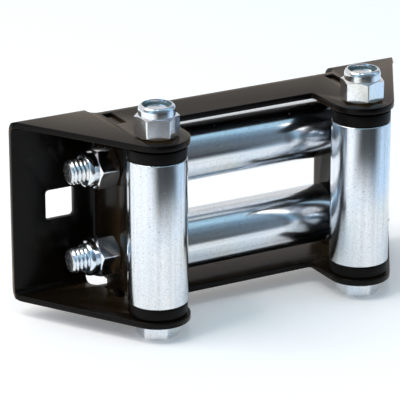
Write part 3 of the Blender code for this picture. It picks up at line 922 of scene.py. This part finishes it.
def make_floor():
    bpy.ops.object.select_all(action="DESELECT")
    bpy.ops.mesh.primitive_plane_add(size=FLOOR_SIZE, location=(0, 0, 0))
    floor = bpy.context.object
    floor.name = "floor"
    material, tree, shader = new_material("pale floor")
    place = object_place(tree)
    aim = add_node(tree, "ShaderNodeVectorMath", {0: place}, operation="NORMALIZE").outputs[0]
    away = add_node(tree, "ShaderNodeVectorMath", {0: place}, operation="LENGTH").outputs["Value"]
    ahead = add_node(tree, "ShaderNodeVectorMath", {0: aim, 1: FRONT_DARK_FLOOR_AIM},
                     operation="DOT_PRODUCT").outputs["Value"]
    rightwards = add_node(tree, "ShaderNodeVectorMath", {0: place, 1: RIGHT_BLUE_FLOOR_AIM},
                          operation="DOT_PRODUCT").outputs["Value"]
    # The blue patch on the right and the dark patch in front are painted into the floor's colour.
    blue = spread(tree, rightwards, *RIGHT_BLUE_FLOOR_REACH)
    open_floor = blend_colours(tree, blue, FLOOR_WHITE, RIGHT_BLUE_FLOOR)
    dark = math_node(tree, "MULTIPLY", spread(tree, ahead, *FRONT_DARK_FLOOR_EDGE),
                     spread(tree, away, *FRONT_DARK_FLOOR_REACH))
    colour = blend_colours(tree, dark, open_floor, FRONT_DARK_FLOOR)
    path = add_node(tree, "ShaderNodeLightPath")
    shown = math_node(tree, "MAXIMUM", path.outputs["Is Camera Ray"], path.outputs["Is Glossy Ray"])
    shown = math_node(tree, "MAXIMUM", shown, path.outputs["Is Transmission Ray"])
    bare = math_node(tree, "SUBTRACT", 1.0, dark)
    lift = blend_colours(tree, math_node(tree, "MULTIPLY", shown, bare), (0, 0, 0, 1), FLOOR_LIFT)
    tree.links.new(colour, shader.inputs["Base Color"])
    tree.links.new(lift, shader.inputs["Emission Color"])
    shader.inputs["Emission Strength"].default_value = 1.0
    shader.inputs["Roughness"].default_value = 0.75
    shader.inputs["Specular IOR Level"].default_value = 0.1
    floor.data.materials.append(material)
    return floor


floor = make_floor()
print("floor:", FLOOR_SIZE, "m square")

# %% [markdown]
# ## The room above
# The room is the same for the camera, the metal and everything matt. From front to back
# it is dim, then lit by cool skylight, dim again overhead, and pale at the wall behind.
# The values are round ones for a room of this kind.

# %% Room
ROOM = ((0.0, (0.1, 0.1, 0.1)), (0.2, (0.2, 0.3, 0.4)), (0.3, (0.5, 0.8, 1.0)),
        (0.6, (0.2, 0.2, 0.25)), (0.8, (0.8, 0.8, 0.8)), (1.0, (0.8, 0.8, 0.8)))


def make_ramp(tree, value, stops):
    """A colour ramp from stops of a position and a colour."""
    node = add_node(tree, "ShaderNodeValToRGB", {0: value})
    elements = node.color_ramp.elements
    for element, (position, colour) in zip(elements, (stops[0], stops[-1])):
        element.position = position
        element.color = (*colour, 1)
    for position, colour in stops[1:-1]:
        elements.new(position).color = (*colour, 1)
    return node.outputs[0]


def make_room():
    world = bpy.data.worlds.new("room")
    bpy.context.scene.world = world
    world.use_nodes = True
    tree = world.node_tree
    tree.nodes.clear()
    direction = add_node(tree, "ShaderNodeTexCoord").outputs["Generated"]
    depth = add_node(tree, "ShaderNodeSeparateXYZ", {0: direction}).outputs[1]
    room = make_ramp(tree, math_node(tree, "MULTIPLY_ADD", depth, 0.5, 0.5), ROOM)
    background = add_node(tree, "ShaderNodeBackground", {"Color": room, "Strength": 1.0})
    output = add_node(tree, "ShaderNodeOutputWorld")
    tree.links.new(background.outputs[0], output.inputs["Surface"])


make_room()
print("room:", len(ROOM), "colours from front to back")

# %% [markdown]
# ## Lamps and camera
# A broad lamp high on the left brings the light up to a plain level. Two small warm
# lamps give the sparks: one high on the left for the threads and the nuts, one overhead
# and nearer to the viewer for the tips of the ears. The camera has a long lens and
# stands to the left of the object and a little above it.

# %% Lamps
def add_lamp(name, place, size, watts, colour):
    bpy.ops.object.select_all(action="DESELECT")
    bpy.ops.object.light_add(type="AREA", location=place)
    lamp = bpy.context.object
    lamp.name = name
    lamp.data.shape = "DISK"
    lamp.data.size = size
    lamp.data.energy = watts
    lamp.data.color = colour
    lamp.rotation_euler = (Vector(place) * -1).to_track_quat("-Z", "Y").to_euler()
    return lamp


add_lamp("broad_lamp", (-0.9, 0.2, 1.2), 1.0, 10.0, (1.0, 0.95, 0.9))
add_lamp("warm_lamp", (-0.533, -0.117, 1.18), 0.16, 1.6, (1.0, 0.93, 0.82))
add_lamp("edge_lamp", (-0.20, -0.38, 1.20), 0.05, 1.0, (1.0, 0.86, 0.70))
print("lamps: 3")

# %% Camera
CAMERA_TURN = 28.9       # degrees to the left of straight in front
CAMERA_DROP = 20.47      # degrees above the horizon
CAMERA_PLACE = (-0.4687, -0.81815, 0.3910)
FOCAL_PIXELS = 2725.5
IMAGE_PIXELS = 400
SENSOR = 36.0


def make_camera():
    bpy.ops.object.camera_add(location=CAMERA_PLACE)
    camera = bpy.context.object
    camera.name = "portrait_camera"
    camera.rotation_euler = (math.radians(90 - CAMERA_DROP), 0, math.radians(-CAMERA_TURN))
    camera.data.sensor_width = SENSOR
    camera.data.lens = FOCAL_PIXELS / IMAGE_PIXELS * SENSOR
    camera.data.clip_end = 20.0
    bpy.context.scene.camera = camera
    print("lens:", round(camera.data.lens), "mm")


make_camera()
bpy.context.scene.view_settings.view_transform = "Standard"
